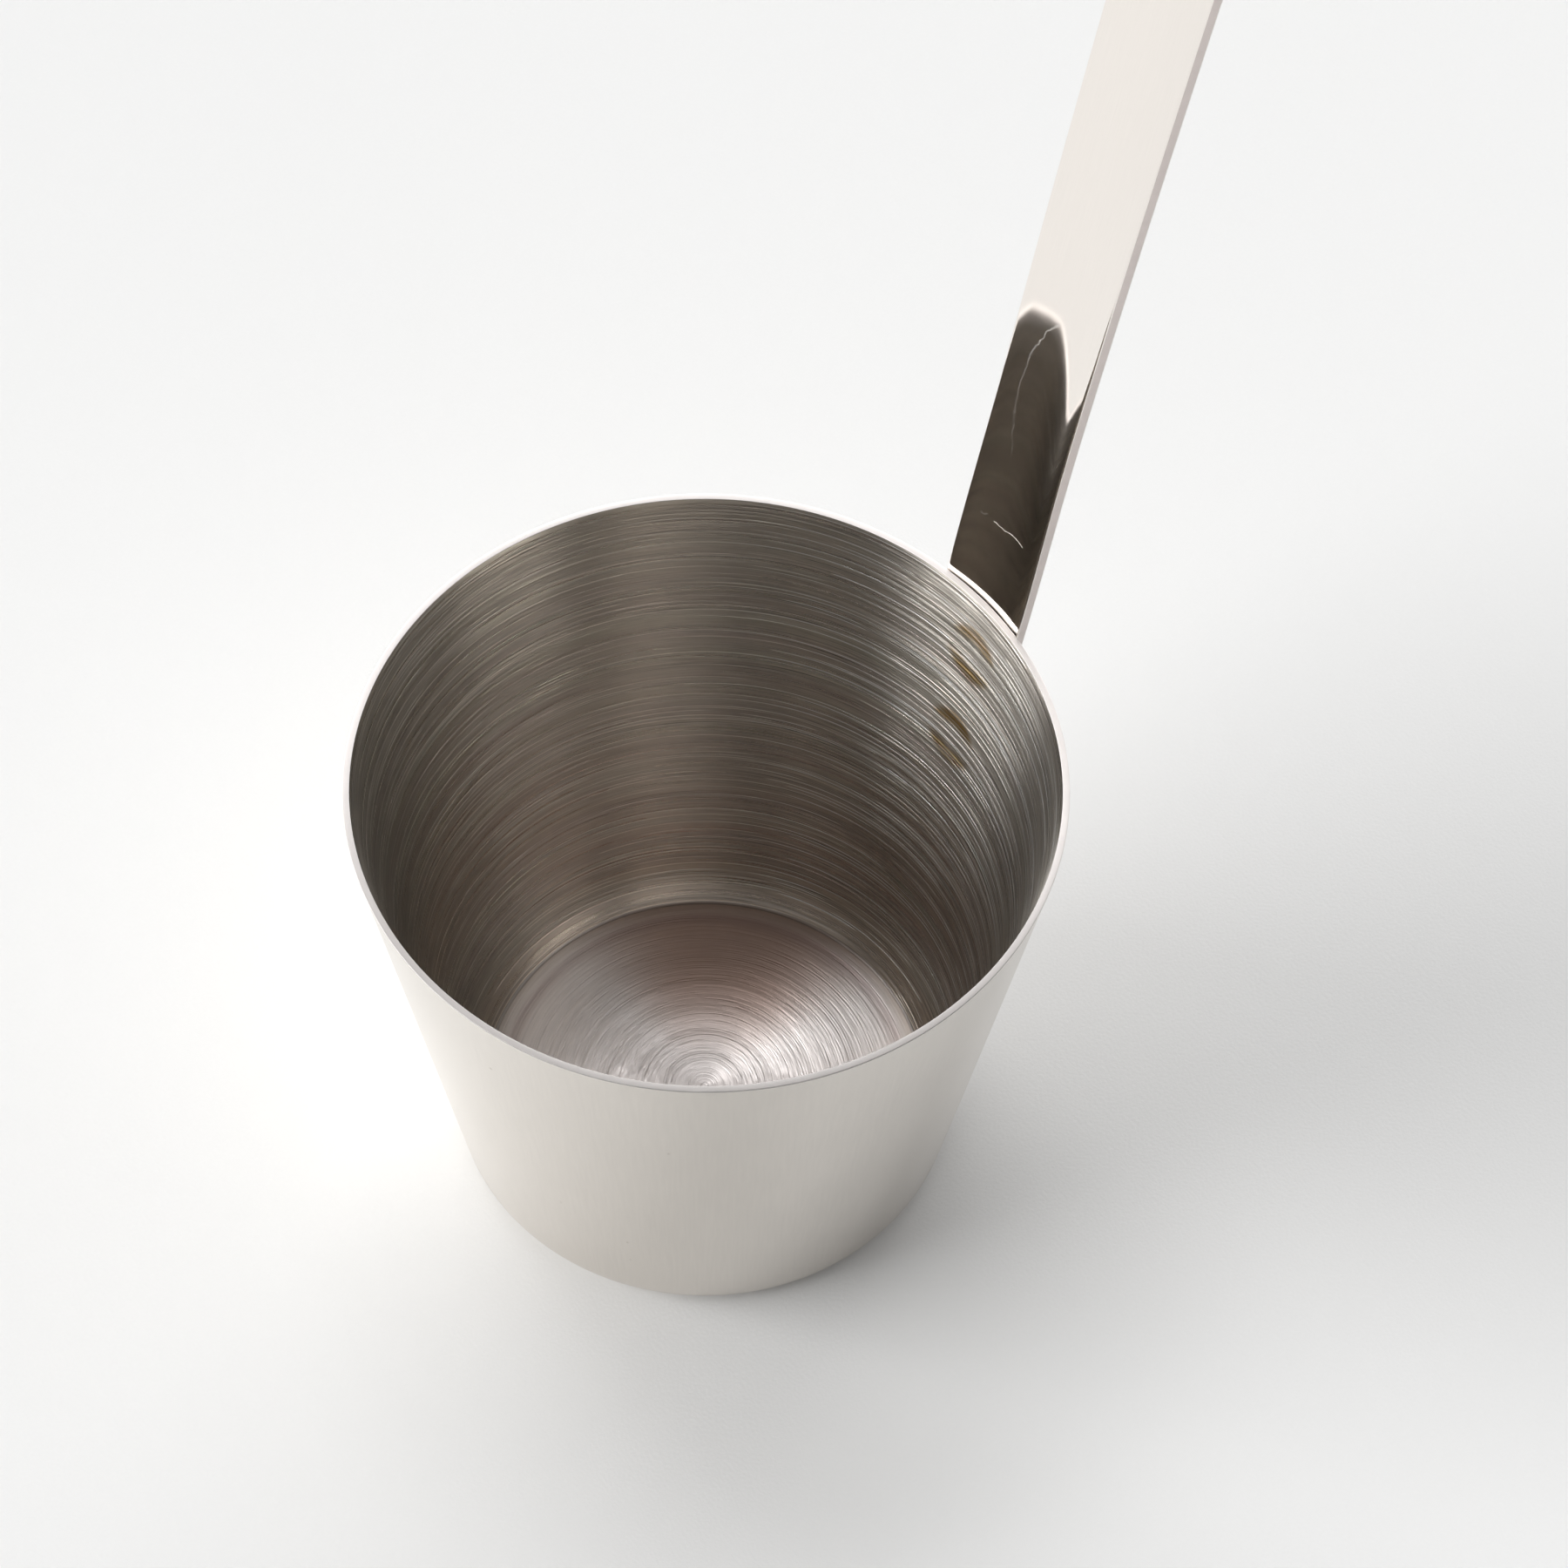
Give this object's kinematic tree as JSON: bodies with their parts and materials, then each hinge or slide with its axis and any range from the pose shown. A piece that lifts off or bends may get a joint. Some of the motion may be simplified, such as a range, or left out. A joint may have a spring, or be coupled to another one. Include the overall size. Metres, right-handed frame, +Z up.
{
  "type": "ladle",
  "caption": "Small dipper ladle: a conical flat-bottomed steel cup with an upright strap handle spot welded to its wall, ending in a hanging slot.",
  "frame": {"origin": "centre of the cup's flat underside, on the surface that it stands on", "axes": "+Z up along the cup's axis, +X from the axis towards the handle, which lies in the XZ plane"},
  "size_m": [0.1045, 0.07, 0.1973],
  "materials": {
    "cup_steel": "brushed round the inside, satin outside, polished rim",
    "handle_steel": "mirror-polished stainless steel with satin side edges",
    "weld_steel": "heat-tinted spot weld"
  },
  "bodies": {
    "root": {"cup": "cup_steel", "handle": "handle_steel", "spot_weld_upper": "weld_steel", "spot_weld_lower": "weld_steel"}
  },
  "joints": []
}
